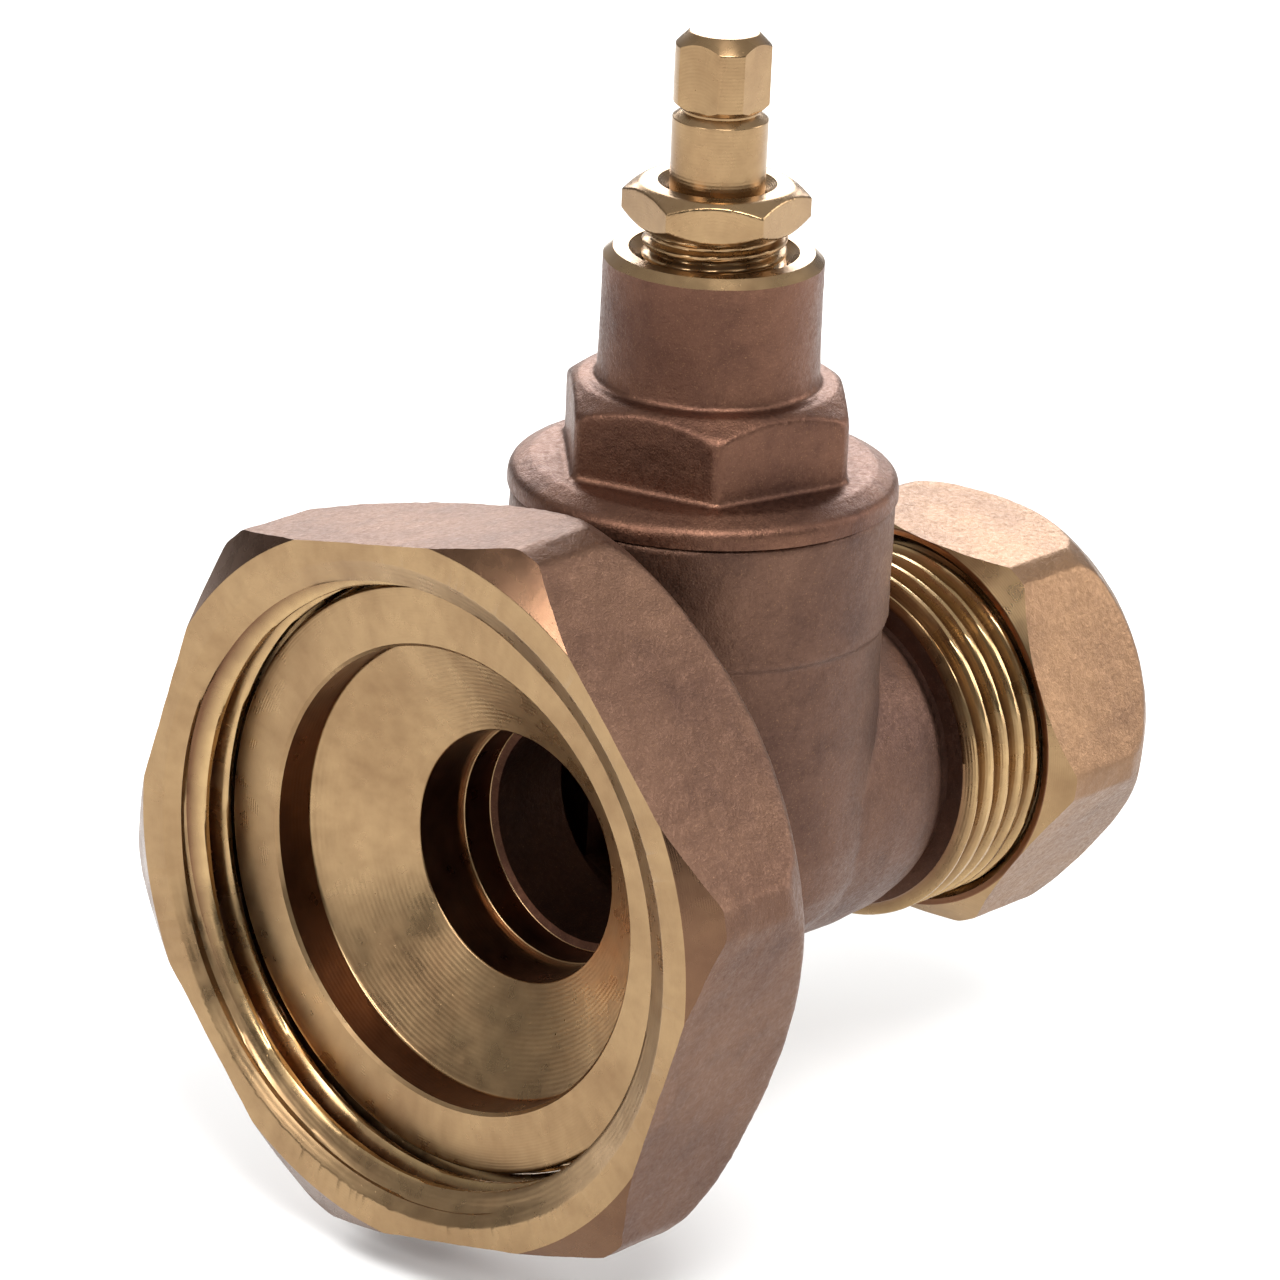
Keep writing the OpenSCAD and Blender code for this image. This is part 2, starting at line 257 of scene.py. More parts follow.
def hex_bar(name, af, low, high, turn):
    """A hexagonal bar along Z with one flat's normal along X, turned by some degrees."""
    corner = corner_radius(af)
    vertices = []
    for z in (low, high):
        for k in range(6):
            a = math.radians(turn + 30 + 60 * k)
            vertices.append((corner * math.cos(a), corner * math.sin(a), z))
    faces = [tuple(range(5, -1, -1)), tuple(range(6, 12))]
    faces += [(k, (k + 1) % 6, (k + 1) % 6 + 6, k + 6) for k in range(6)]
    return face_outward(new_object(name, vertices, faces))


def block(name, low, high):
    """A box between two opposite corners."""
    xs, ys, zs = zip(low, high)
    vertices = [(x, y, z) for z in zs for y in ys for x in xs]
    faces = [(0, 2, 3, 1), (4, 5, 7, 6), (0, 1, 5, 4), (2, 6, 7, 3), (0, 4, 6, 2), (1, 3, 7, 5)]
    return face_outward(new_object(name, vertices, faces))


def wedge(name, half, low, high):
    """A wide slab across the flow line, tapered like the gate. half is half its thickness at Z = 0."""
    reach = 30
    a = half + GATE_TAPER * low
    b = half + GATE_TAPER * high
    vertices = [(-a, -reach, low), (a, -reach, low), (a, reach, low), (-a, reach, low),
                (-b, -reach, high), (b, -reach, high), (b, reach, high), (-b, reach, high)]
    faces = [(0, 3, 2, 1), (4, 5, 6, 7), (0, 1, 5, 4), (1, 2, 6, 5), (2, 3, 7, 6), (3, 0, 4, 7)]
    return face_outward(new_object(name, vertices, faces))


def thread_height(phase):
    """The height of a worn thread, 0 to 1, at each phase of its pitch."""
    away = np.abs(phase - 0.5) * 2
    height = np.clip((0.82 - away) / 0.62, 0, 1)
    return height * height * (3 - 2 * height) * 0.35 + height * 0.65


def thread_rod(name, root, crest, pitch, start, end, hand=1, fade_in=0.4, fade_out=0.4,
               segments=SEGMENTS, thread_end=None, at_least=()):
    """A rod along Z with a helical thread. hand is 1 for right and -1 for left. fade_in and
    fade_out are how many turns the thread takes to reach full depth at each end. at_least is an
    outline of (height, radius) points that the rod is never thinner than."""
    rows = max(2, int(round((end - start) / pitch * THREAD_ROWS)))
    angle = np.arange(segments) / segments
    z = np.linspace(start, end, rows + 1)[:, None]
    turns = (z - start) / pitch
    height = thread_height(np.mod(turns - hand * angle[None, :], 1.0))
    total = ((end if thread_end is None else thread_end) - start) / pitch
    rise = np.clip(turns / max(fade_in, 1e-3), 0, 1)
    fall = np.clip((total - turns) / max(fade_out, 1e-3), 0, 1)
    r = root + (crest - root) * height * (rise * fall)
    if at_least:
        heights, radii = zip(*at_least)
        r = np.maximum(r, np.interp(z, heights, radii))
    a = 2 * np.pi * angle[None, :]
    x = r * np.cos(a)
    y = r * np.sin(a)
    grid = np.stack([x, y, np.broadcast_to(z, x.shape)], -1).reshape(-1, 3)
    vertices = grid.tolist() + [(0, 0, start), (0, 0, end)]
    bottom = len(grid)
    top = bottom + 1
    faces = []
    for i in range(rows):
        low = i * segments
        high = low + segments
        for k in range(segments):
            n = (k + 1) % segments
            faces.append((low + k, low + n, high + n, high + k))
    last = rows * segments
    for k in range(segments):
        n = (k + 1) % segments
        faces.append((bottom, n, k))
        faces.append((top, last + k, last + n))
    return face_outward(new_object(name, vertices, faces))


def along_flow(obj):
    """Turns local Z onto the flow line."""
    obj.data.transform(Matrix(((0, 0, 1, 0), (0, 1, 0, 0), (-1, 0, 0, 0), (0, 0, 0, 1))))
    return obj


def on_spindle(obj):
    """Moves a shape from the origin to the spindle's axis."""
    obj.data.transform(Matrix.Translation((FACE_TO_AXIS, 0, 0)))
    return obj


def apply_modifiers(obj):
    bpy.context.view_layer.update()
    shaped = obj.evaluated_get(bpy.context.evaluated_depsgraph_get())
    mesh = bpy.data.meshes.new_from_object(shaped)
    obj.modifiers.clear()
    old = obj.data
    obj.data = mesh
    bpy.data.meshes.remove(old)
    return obj


def boolean(obj, tool, operation):
    """Applies one boolean. Removing the tool's mesh removes the tool too."""
    step = obj.modifiers.new("boolean", "BOOLEAN")
    step.operation = operation
    step.solver = "MANIFOLD"
    step.object = tool
    apply_modifiers(obj)
    bpy.data.meshes.remove(tool.data)
    return obj


def cut(obj, *tools):
    for tool in tools:
        boolean(obj, tool, "DIFFERENCE")
    return obj


def add(obj, *tools):
    for tool in tools:
        boolean(obj, tool, "UNION")
    return obj


def keep_inside(obj, tool):
    return boolean(obj, tool, "INTERSECT")


def lump_height(place):
    """Soft unevenness about 2 mm wide, with half as much at 1 mm."""
    return noise.noise(place * 0.45) + 0.5 * noise.noise(place * 1.1)


def forge(obj, voxel, rounds, unevenness=0.0):
    """Blends a solid as a forging die does: fine voxels, softened edges and a slightly uneven skin."""
    step = obj.modifiers.new("voxels", "REMESH")
    step.mode = "VOXEL"
    step.voxel_size = voxel
    apply_modifiers(obj)
    step = obj.modifiers.new("soften", "SMOOTH")
    step.factor = 0.5
    step.iterations = rounds
    apply_modifiers(obj)
    if unevenness:
        mesh = obj.data
        places = np.empty(len(mesh.vertices) * 3)
        normals = np.empty(len(mesh.vertices) * 3)
        mesh.vertices.foreach_get("co", places)
        mesh.vertex_normals.foreach_get("vector", normals)
        places = places.reshape(-1, 3)
        normals = normals.reshape(-1, 3)
        lumps = np.array([lump_height(Vector(place)) for place in places])
        places += normals * lumps[:, None] * unevenness
        mesh.vertices.foreach_set("co", places.ravel())
        mesh.update()
    return obj


def finish_piece(obj, body, materials, replaces, pick=None):
    """Scales a piece to metres, gives its faces their materials and puts it on its body. pick
    gives the material's number in the list, from a face's centre and normal in millimetres."""
    mesh = obj.data
    mesh.materials.clear()
    for material in materials:
        mesh.materials.append(material)
    if pick:
        indices = [pick(p.center, p.normal) for p in mesh.polygons]
        mesh.polygons.foreach_set("material_index", indices)
    mesh.transform(Matrix.Scale(MM, 4))
    mesh.shade_smooth()
    mesh.set_sharp_from_angle(angle=math.radians(SHARP_DEG))
    steady = obj.modifiers.new("steady_normals", "WEIGHTED_NORMAL")
    steady.keep_sharp = True
    steady.weight = 80
    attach(obj, body)
    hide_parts(*replaces)
    return obj


# ---------------------------------------------------------------- materials

class Nodes:
    """A short way to write a material's node tree."""

    def __init__(self, name):
        self.material = bpy.data.materials.new(name)
        self.material.use_nodes = True
        self.tree = self.material.node_tree
        self.shader = self.tree.nodes["Principled BSDF"]
        self.place = self.tree.nodes.new("ShaderNodeTexCoord").outputs["Object"]

    def add(self, kind, inputs, **settings):
        node = self.tree.nodes.new(kind)
        for key, value in settings.items():
            setattr(node, key, value)
        for key, value in inputs.items():
            if isinstance(value, bpy.types.NodeSocket):
                self.tree.links.new(value, node.inputs[key])
            else:
                node.inputs[key].default_value = value
        return node

    def noise(self, scale, detail=3.0, roughness=0.55):
        inputs = {"Vector": self.place, "Scale": scale, "Detail": detail, "Roughness": roughness}
        return self.add("ShaderNodeTexNoise", inputs).outputs["Fac"]

    def math(self, operation, a, b=0.5):
        return self.add("ShaderNodeMath", {0: a, 1: b}, operation=operation).outputs[0]

    def spread(self, value, low, high, to_low=0.0, to_high=1.0):
        """Maps low..high onto to_low..to_high, and holds the ends."""
        inputs = {"Value": value, "From Min": low, "From Max": high, "To Min": to_low, "To Max": to_high}
        return self.add("ShaderNodeMapRange", inputs, clamp=True).outputs[0]

    def mix(self, amount, a, b):
        return self.add("ShaderNodeMix", {0: amount, 6: a, 7: b}, data_type="RGBA").outputs[2]

    def vector(self, operation, *values):
        inputs = dict(enumerate(values))
        return self.add("ShaderNodeVectorMath", inputs, operation=operation).outputs

    def radius(self, axis, centre=(0, 0, 0)):
        """Distance from an axis: X is the flow line, Z the spindle."""
        keep = (0, 1, 1) if axis == "X" else (1, 1, 0)
        moved = self.vector("SUBTRACT", self.place, centre)[0]
        flat = self.vector("MULTIPLY", moved, keep)[0]
        return self.vector("LENGTH", flat)["Value"]

    def bump(self, height, distance, strength, after=None):
        inputs = {"Height": height, "Distance": distance, "Strength": strength}
        if after:
            inputs["Normal"] = after
        return self.add("ShaderNodeBump", inputs).outputs[0]

    def link(self, value, socket):
        self.tree.links.new(value, self.shader.inputs[socket])


def linear(level):
    """One colour channel, from 0 to 255 on screen to linear light."""
    c = level / 255
    return c / 12.92 if c <= 0.04045 else ((c + 0.055) / 1.055) ** 2.4


def rgb(r, g, b):
    """A colour given as 0 to 255 on screen, made linear."""
    return (linear(r), linear(g), linear(b), 1.0)


GOLD = rgb(160, 132, 97)
TAN = rgb(136, 108, 78)
# painted highlight: a lighter brass for the bright crests of threads
CREST_HIGHLIGHT = rgb(184, 154, 111)
# painted glint for the specks in forged skins
PAINTED_GLINT_GOLD = rgb(186, 146, 104)
NICK_BROWN = rgb(92, 64, 46)
# painted shade for the roots of threads
ROOT_SHADE_BROWN = rgb(84, 50, 38)


def turned_brass(name, axis, light, dark, roughness, lines=0.00022, root_shade=None):
    """Brass off the lathe: fine concentric tool lines, faint staining and small nicks. lines is
    the distance between tool lines, in metres. root_shade is the radius, in millimetres, where a
    thread has no painted shade and the radius where its painted root shade is darkest."""
    n = Nodes(name)
    centre = (FACE_TO_AXIS * MM, 0, 0) if axis == "Z" else (0, 0, 0)
    stain = n.spread(n.noise(110, 4, 0.6), 0.42, 0.72)
    fine = n.spread(n.noise(900, 3, 0.6), 0.4, 0.75)
    colour = n.mix(stain, light, dark)
    colour = n.mix(n.math("MULTIPLY", fine, 0.16), colour, NICK_BROWN)
    # painted shade: the colour darkens from a thread's crests towards its roots
    if root_shade:
        unshaded_r, darkest = root_shade
        depth = n.spread(n.radius(axis, centre), unshaded_r * MM, darkest * MM, 0.0, 0.85)
        colour = n.mix(depth, colour, ROOT_SHADE_BROWN)
    n.link(colour, "Base Color")
    n.shader.inputs["Metallic"].default_value = 1.0
    along = n.add("ShaderNodeSeparateXYZ", {0: n.place}).outputs[axis]
    reach = n.math("ADD", n.radius(axis, centre), n.math("MULTIPLY", along, 0.83))
    wander = n.math("MULTIPLY", n.noise(260, 2), 0.00012)
    wave = n.math("SINE", n.math("MULTIPLY", n.math("ADD", reach, wander), 2 * math.pi / lines))
    n.link(n.spread(n.noise(420, 3), 0.3, 0.8, roughness, roughness + 0.16), "Roughness")
    pits = n.spread(n.noise(2400, 2, 0.7), 0.68, 0.8, 1.0, 0.0)
    normal = n.bump(wave, 0.0000035, 0.5)
    n.link(n.bump(pits, 0.00002, 0.5, normal), "Normal")
    return n.material


def forged_brass(name, light, dark, shadow, roughness):
    """Shot-blasted forging: a dull brown skin, pin-sharp specks of painted golden glint and soft dents.
    """
    n = Nodes(name)
    patch = n.spread(n.noise(70, 4, 0.6), 0.36, 0.68)
    colour = n.mix(patch, light, dark)
    soot = n.spread(n.noise(240, 5, 0.65), 0.5, 0.78)
    colour = n.mix(n.math("MULTIPLY", soot, 0.45), colour, shadow)
    # painted glint: pin-sharp lighter specks in the base colour
    glint_specks = n.spread(n.noise(8200, 2, 0.6), 0.6, 0.78)
    colour = n.mix(n.math("MULTIPLY", glint_specks, 0.3), colour, PAINTED_GLINT_GOLD)
    n.link(colour, "Base Color")
    n.shader.inputs["Metallic"].default_value = 1.0
    n.link(n.spread(n.noise(3000, 3), 0.3, 0.75, roughness - 0.08, roughness + 0.16), "Roughness")
    grain = n.noise(6000, 4, 0.7)
    dents = n.spread(n.noise(750, 3, 0.6), 0.3, 0.75)
    normal = n.bump(dents, 0.00006, 0.55)
    n.link(n.bump(grain, 0.00005, 0.6, normal), "Normal")
    return n.material


def plain_material(name, colour, other, roughness, metallic=0.0):
    """Two close colours in fine grain, for the ring and the seals."""
    grain = 1500
    n = Nodes(name)
    n.link(n.mix(n.spread(n.noise(grain, 4), 0.35, 0.7), colour, other), "Base Color")
    n.shader.inputs["Metallic"].default_value = metallic
    n.link(n.spread(n.noise(grain * 1.7, 3), 0.3, 0.8, roughness, roughness + 0.15), "Roughness")
    n.link(n.bump(n.noise(grain * 2, 3), 0.00002, 0.5), "Normal")
    return n.material


FLOW_TURNED = turned_brass("turned_brass_flow", "X", GOLD, TAN, 0.24)
# thread brass: painted highlight in its lighter colour, painted shade towards the roots
THREAD_BRASS = turned_brass("thread_brass", "X", CREST_HIGHLIGHT, GOLD, 0.22, 0.0003,
                            root_shade=(PIPE_THREAD_R - 0.1, PIPE_THREAD_ROOT - 0.1))
UNION_THREAD = turned_brass("union_thread", "X", CREST_HIGHLIGHT, GOLD, 0.2, 0.0003,
                            root_shade=(UNION_MINOR_R + 0.15, UNION_MAJOR_R - 0.2))
OLIVE_BRASS = turned_brass("olive_brass", "X", GOLD, TAN, 0.25)
SPINDLE_TURNED = turned_brass("turned_brass_spindle", "Z", GOLD, TAN, 0.22)
BODY_FORGED = forged_brass("forged_body", rgb(112, 84, 70), rgb(88, 65, 56), rgb(54, 40, 38), 0.46)
BONNET_FORGED = forged_brass("forged_bonnet", rgb(116, 83, 67), rgb(90, 63, 53), rgb(54, 37, 35), 0.42)
UNION_FORGED = forged_brass("forged_union_nut", rgb(118, 89, 72), rgb(98, 72, 60), rgb(64, 46, 42), 0.44)
NUT_FORGED = forged_brass("forged_compression_nut", rgb(140, 109, 82), rgb(118, 90, 69),
                          rgb(84, 62, 50), 0.38)
# painted shade: a darker brass for the washer's recess, the inlet and the insides and faces of the nuts
SHADED_BRASS = turned_brass("painted_shade_brass", "X", rgb(128, 90, 66), rgb(94, 64, 50), 0.26, 0.0003)
# painted shade: a darker brass for the union nut's front chamfer
CHAMFER_SHADE_BRASS = turned_brass("chamfer_painted_shade", "X", rgb(112, 84, 64), rgb(92, 66, 52), 0.2)
# painted shade: a darker forged skin for the waterway's walls, with a duller finish
WATERWAY_DULL_SHADED = forged_brass("waterway_painted_shade", rgb(104, 72, 56), rgb(80, 56, 46), rgb(46, 32, 30), 0.5)


# ---------------------------------------------------------------- valve body

def body_skin():
    """The forged outside: a neck behind the flange, the upright barrel and the hub to the pipe."""
    skin = along_flow(revolve("valve_body_skin", rounded([
        (0, 1.2),
        (19.3, 1.2),
        (19.3, 4.6, 0.8),
        (16.8, 6.8, 1.5),
        (HUB_R, 11.5, 3),
        (12.4, 18),
        (12.4, FACE_TO_AXIS),
        (0, FACE_TO_AXIS),
    ])))
    barrel = on_spindle(revolve("barrel", rounded([
        (0, BOTTOM_Z),
        (4, BOTTOM_Z, 3),
        (7.2, -10.7, 2),
        (9.8, -9.2, 2),
        (11.9, -7, 2),
        (13.1, -4.8, 2),
        (LOWER_R, -1.5, 2),
        (LOWER_R, BARREL_STEP_Z - 0.15),
        (BARREL_R - 0.05, BARREL_STEP_Z + 0.1),
        (BARREL_R, JOINT_Z - 0.05, 0.3),
        (0, JOINT_Z - 0.05),
    ])))
    hub = along_flow(revolve("hub", rounded([
        (0, FACE_TO_AXIS),
        (HUB_R, FACE_TO_AXIS),
        (13, 35),
        (12.8, 38.5, 3),
        (12.3, 40.8, 1.5),
        (HUB_END_R - 0.4, 41.7, 0.4),
        (HUB_END_R - 0.4, HUB_END_X),
        (0, HUB_END_X),
    ])))
    add(skin, barrel, hub)
    return forge(skin, 0.25, 4, 0.045)


def body_flange():
    return along_flow(revolve("flange", rounded([
        (0, 0),
        (FLANGE_R, 0, 0.35),
        (FLANGE_R, FLANGE_T, 0.25),
        (FLANGE_STEP_R, FLANGE_T),
        (FLANGE_STEP_R, FLANGE_STEP_X),
        (0, FLANGE_STEP_X),
    ])))


def body_thread():
    return along_flow(thread_rod("thread", PIPE_THREAD_ROOT, PIPE_THREAD_R, PIPE_PITCH,
                                 THREAD_START_X, MOUTH_X, fade_in=0.3, fade_out=0.9))


def waterway_core():
    """What is cut out along the flow line, from the washer's recess to the coned mouth."""
    past_mouth = MOUTH_X + 0.1
    return along_flow(revolve("waterway", rounded([
        (0, -1),
        (RECESS_R + 0.25, -1),
        (RECESS_R + 0.25, 0),
        (RECESS_R, 0.25),
        (RECESS_R, RECESS_DEPTH, 0.3),
        (INLET_R, FUNNEL_END_X, 0.2),
        (INLET_R, SEAT_STEP_X),
        (SEAT_R, SEAT_STEP_X, 0.15),
        (SEAT_R, SEAT_END_X, 0.1),
        (WATERWAY_R, SEAT_END_X + 0.2),
        (WATERWAY_R, PIPE_STOP_X),
        (PIPE_R, PIPE_STOP_X),
        (PIPE_R, MOUTH_X - CONE_LEN),
        (PIPE_R + (CONE_LEN + 0.1) * CONE_SLOPE, past_mouth),
        (0, past_mouth),
    ])))


def chamber_core():
    """The room for the gate: a chamber less the two seat bosses and the two guide ribs."""
    chamber = on_spindle(revolve("chamber", [
        (0, CHAMBER_FLOOR_Z),
        (5.2, CHAMBER_FLOOR_Z),
        (9.5, -7),
        (11.2, -3.5),
        (CHAMBER_R, -1),
        (CHAMBER_R, SPIGOT_ROOM_Z),
        (SPIGOT_ROOM_R, SPIGOT_ROOM_Z),
        (SPIGOT_ROOM_R, 30),
        (0, 30),
    ]))
    bosses = along_flow(revolve("bosses", [
        (0, 0),
        (SEAT_BOSS_R, 0),
        (SEAT_BOSS_R, MOUTH_X),
        (0, MOUTH_X),
    ]))
    cut(bosses, on_spindle(wedge("slot", GATE_SLOT_HALF, -30, 30)))
    cut(chamber, bosses)
    for side in (-1, 1):
        low_y, high_y = sorted((side * GUIDE_IN_Y, side * GUIDE_OUT_Y))
        cut(chamber, block("rib", (FACE_TO_AXIS - GUIDE_HALF_T, low_y, GUIDE_LOW_Z),
                           (FACE_TO_AXIS + GUIDE_HALF_T, high_y, GUIDE_TOP_Z)))
    return chamber


def make_valve_body():
    body = body_skin()
    add(body, body_flange(), body_thread())
    waterway = waterway_core()
    chamber = chamber_core()
    cut(body, waterway, chamber)
    materials = [BODY_FORGED, FLOW_TURNED, THREAD_BRASS, WATERWAY_DULL_SHADED, SHADED_BRASS]
    forged, turned, thread, waterway_shade, shaded = range(5)

    def pick(c, normal):
        r = math.hypot(c.y, c.z)
        inward = normal.y * c.y + normal.z * c.z < 0
        in_pump_end = c.x < SEAT_END_X + 0.1 and r < RECESS_R + 0.4
        if c.x < FLANGE_T + 0.01 and r > RECESS_R:
            return turned
        if c.x > THREAD_START_X + 0.02 and r > 12.2:
            return thread
        if in_pump_end and normal.x < -0.3:
            return turned
        # painted shade in the washer's recess and the inlet
        if in_pump_end and inward:
            return shaded
        if c.x > PIPE_STOP_X and r < 13 and (inward or normal.x > 0.5):
            return turned
        # painted shade on the waterway's walls
        if r < 11 and inward:
            return waterway_shade
        return forged

    return finish_piece(body, "valve", materials, ("valve_body",), pick)


# ---------------------------------------------------------------- bonnet

def bonnet_skin():
    """The forged outside: a round collar, a hexagon with its corners turned off, and the neck."""
    skin = revolve("bonnet_skin", rounded([
        (0, 22),
        (BARREL_R - 1, 22),
        (BARREL_R + 0.2, JOINT_Z - 1),
        (BARREL_R + 0.2, COLLAR_TOP_Z - 0.9, 0.9),
        (BARREL_R - 1.6, COLLAR_TOP_Z, 1.2),
        (0, COLLAR_TOP_Z),
    ]), SPINDLE_SEGMENTS)
    hexagon = hex_bar("hexagon", BONNET_AF, 23, HEX_TOP_Z, BONNET_TURN)
    keep_inside(hexagon, revolve("limit", rounded([
        (0, 22),
        (BONNET_CORNER_R, 22),
        (BONNET_CORNER_R, HEX_TOP_Z - 1.4, 1),
        (9.4, HEX_TOP_Z, 0.8),
        (0, HEX_TOP_Z),
    ]), SPINDLE_SEGMENTS))
    neck = revolve("neck", rounded([
        (0, 23),
        (NECK_R + 0.12, 23),
        (NECK_R + 0.12, HEX_TOP_Z),
        (NECK_R, HEX_TOP_Z + 3),
        (NECK_R, NECK_TOP_Z + 2),
        (0, NECK_TOP_Z + 2),
    ]), SPINDLE_SEGMENTS)
    add(skin, hexagon, neck)
    return forge(skin, 0.2, 6, 0.03)


def make_bonnet():
    bonnet = bonnet_skin()
    keep_inside(bonnet, revolve("above", [
        (0, JOINT_Z),
        (30, JOINT_Z),
        (30, NECK_CHAMFER_Z),
        (NECK_R + 0.3, NECK_CHAMFER_Z - 0.3),
        (NECK_R - 0.72, NECK_TOP_Z),
        (0, NECK_TOP_Z),
    ], SPINDLE_SEGMENTS))
    add(bonnet, revolve("spigot", rounded([
        (0, SPIGOT_LOW_Z),
        (SPIGOT_R - 0.5, SPIGOT_LOW_Z),
        (SPIGOT_R, SPIGOT_LOW_Z + 0.5),
        (SPIGOT_R, JOINT_Z + 0.2),
        (0, JOINT_Z + 0.2),
    ]), SPINDLE_SEGMENTS))
    cut(bonnet, revolve("hollow", [
        (0, 16),
        (11.1, 16),
        (11.1, 23.9),
        (8.3, 26.3),
        (8.3, 27.3),
        (6.8, 28.8),
        (6.8, 32.6),
        (3.75, 32.6),
        (3.75, PACKING_FLOOR_Z),
        (PACKING_ROOM_R, PACKING_FLOOR_Z),
        (PACKING_ROOM_R, NECK_TOP_Z - 1),
        (PACKING_ROOM_R + 0.85, NECK_TOP_Z - 0.1),
        (PACKING_ROOM_R + 0.85, NECK_TOP_Z + 1),
        (0, NECK_TOP_Z + 1),
    ], SPINDLE_SEGMENTS))
    on_spindle(bonnet)
    forged, turned = range(2)

    def pick(c, normal):
        r = math.hypot(c.x - FACE_TO_AXIS, c.y)
        if c.z > NECK_TOP_Z - 1.1 and (normal.z > 0.35 or r < NECK_R - 0.9):
            return turned
        if r < 6.9 and c.z > 33:
            return turned
        return forged

    return finish_piece(bonnet, "valve", [BONNET_FORGED, SPINDLE_TURNED],
                        ("bonnet",), pick)


# ---------------------------------------------------------------- nuts

def make_union_nut():
    nut = hex_bar("union_nut_skin", UNION_AF, UNION_FRONT_X - 2, UNION_BACK_X, UNION_TURN)
    keep_inside(nut, revolve("limit", rounded([
        (0, UNION_FRONT_X - 2),
        (UNION_CORNER_R, UNION_FRONT_X - 2),
        (UNION_CORNER_R, UNION_BACK_X - 5.2, 2),
        (28.3, UNION_BACK_X - 3, 2),
        (UNION_BACK_R, UNION_BACK_X, 0.8),
        (0, UNION_BACK_X),
    ])))
    forge(nut, 0.3, 7, 0.05)
    keep_inside(nut, revolve("front", rounded([
        (0, UNION_FRONT_X),
        (UNION_FACE_R, UNION_FRONT_X, 0.25),
        (30.6, UNION_FRONT_X + 2.5),
        (31, UNION_BACK_X + 1),
        (0, UNION_BACK_X + 1),
    ])))
    before_front = UNION_FRONT_X - 0.6
    past_back = UNION_BACK_X + 0.3
    walls = [
        (before_front, UNION_LEAD_R + 0.9),
        (UNION_FRONT_X, UNION_LEAD_R),
        (UNION_LEAD_X, UNION_MINOR_R),
        (RING_X0 - 0.15, UNION_MINOR_R),
        (RING_X0 - 0.02, RING_GROOVE_R),
        (RING_X1 + 0.02, RING_GROOVE_R),
        (RING_X1 + 0.15, UNION_HOLE_R),
        (UNION_BACK_X - 0.4, UNION_HOLE_R),
        (past_back, UNION_HOLE_R + 0.7),
    ]
    cut(nut, thread_rod("inside", UNION_MINOR_R, UNION_MAJOR_R, UNION_PITCH, before_front, past_back,
                        fade_in=0.2, fade_out=0.5, thread_end=RING_X0 - 0.1, at_least=walls))
    along_flow(nut)
    materials = [UNION_FORGED, FLOW_TURNED, UNION_THREAD, SHADED_BRASS, CHAMFER_SHADE_BRASS]
    forged, turned, thread, shaded, chamfer = range(5)

    def pick(c, normal):
        r = math.hypot(c.y, c.z)
        inward = normal.y * c.y + normal.z * c.z < 0
        if normal.x < -0.95 and c.x < UNION_FRONT_X + 0.05 or inward and c.x < UNION_LEAD_X + 0.1:
            return turned
        # painted shade on the front chamfer
        if c.x < UNION_FRONT_X + 2.4 and normal.x < -0.45 and not inward:
            return chamfer
        if r > RING_OUT_R + 1.5 or not inward and normal.x > 0.9:
            return forged
        # painted shade inside the nut from the ring back
        return shaded if c.x > RING_X0 - 0.2 else thread

    return finish_piece(nut, "union_nut", materials, ("union_nut",), pick)


def make_compression_nut():
    nut = hex_bar("compression_nut_skin", NUT_AF, NUT_X0 - 1, NUT_X1, NUT_TURN)
    keep_inside(nut, revolve("limit", rounded([
        (0, NUT_X0 - 1),
        (NUT_CORNER_R, NUT_X0 - 1),
        (NUT_CORNER_R, NUT_X1 - 4.2, 2),
        (NUT_CORNER_R - 0.5, NUT_X1 - 2.6, 2),
        (NUT_CORNER_R - 2.3, NUT_X1, 1),
        (0, NUT_X1),
    ])))
    forge(nut, 0.2, 6, 0.03)
    keep_inside(nut, revolve("front", rounded([
        (0, NUT_X0),
        (NUT_FACE_R, NUT_X0, 0.2),
        (NUT_CORNER_R + 1, NUT_X0 + 2.4),
        (NUT_CORNER_R + 1, NUT_X1 + 1),
        (0, NUT_X1 + 1),
    ])))
    cut(nut, revolve("inside", [
        (0, NUT_X0 - 1),
        (NUT_BORE_R + 0.5, NUT_X0 - 1),
        (NUT_BORE_R + 0.5, NUT_X0),
        (NUT_BORE_R, NUT_X0 + 0.5),
        (NUT_BORE_R, NUT_BORE_END_X),
        (OLIVE_ROOM_R, NUT_BORE_END_X + 0.5),
        (OLIVE_ROOM_R, 59.9),
        (11.85, 61.5),
        (NUT_HOLE_R, 61.5),
        (NUT_HOLE_R, NUT_X1 - 0.4),
        (NUT_HOLE_R + 0.5, NUT_X1 + 0.1),
        (0, NUT_X1 + 0.1),
    ]))
    along_flow(nut)
    forged, turned, shaded = range(3)

    def pick(c, normal):
        r = math.hypot(c.y, c.z)
        inward = normal.y * c.y + normal.z * c.z < 0
        # painted shade on the nut's face towards the hub
        if c.x < NUT_X0 + 0.05 and r < NUT_FACE_R + 0.1:
            return shaded
        if c.x < NUT_X0 + 2.6 and normal.x < -0.3:
            return turned
        return turned if r < NUT_BORE_R + 1 and (inward or r < NUT_BORE_R - 0.2) else forged

    return finish_piece(nut, "compression_nut", [NUT_FORGED, FLOW_TURNED, SHADED_BRASS],
                        ("compression_nut",), pick)


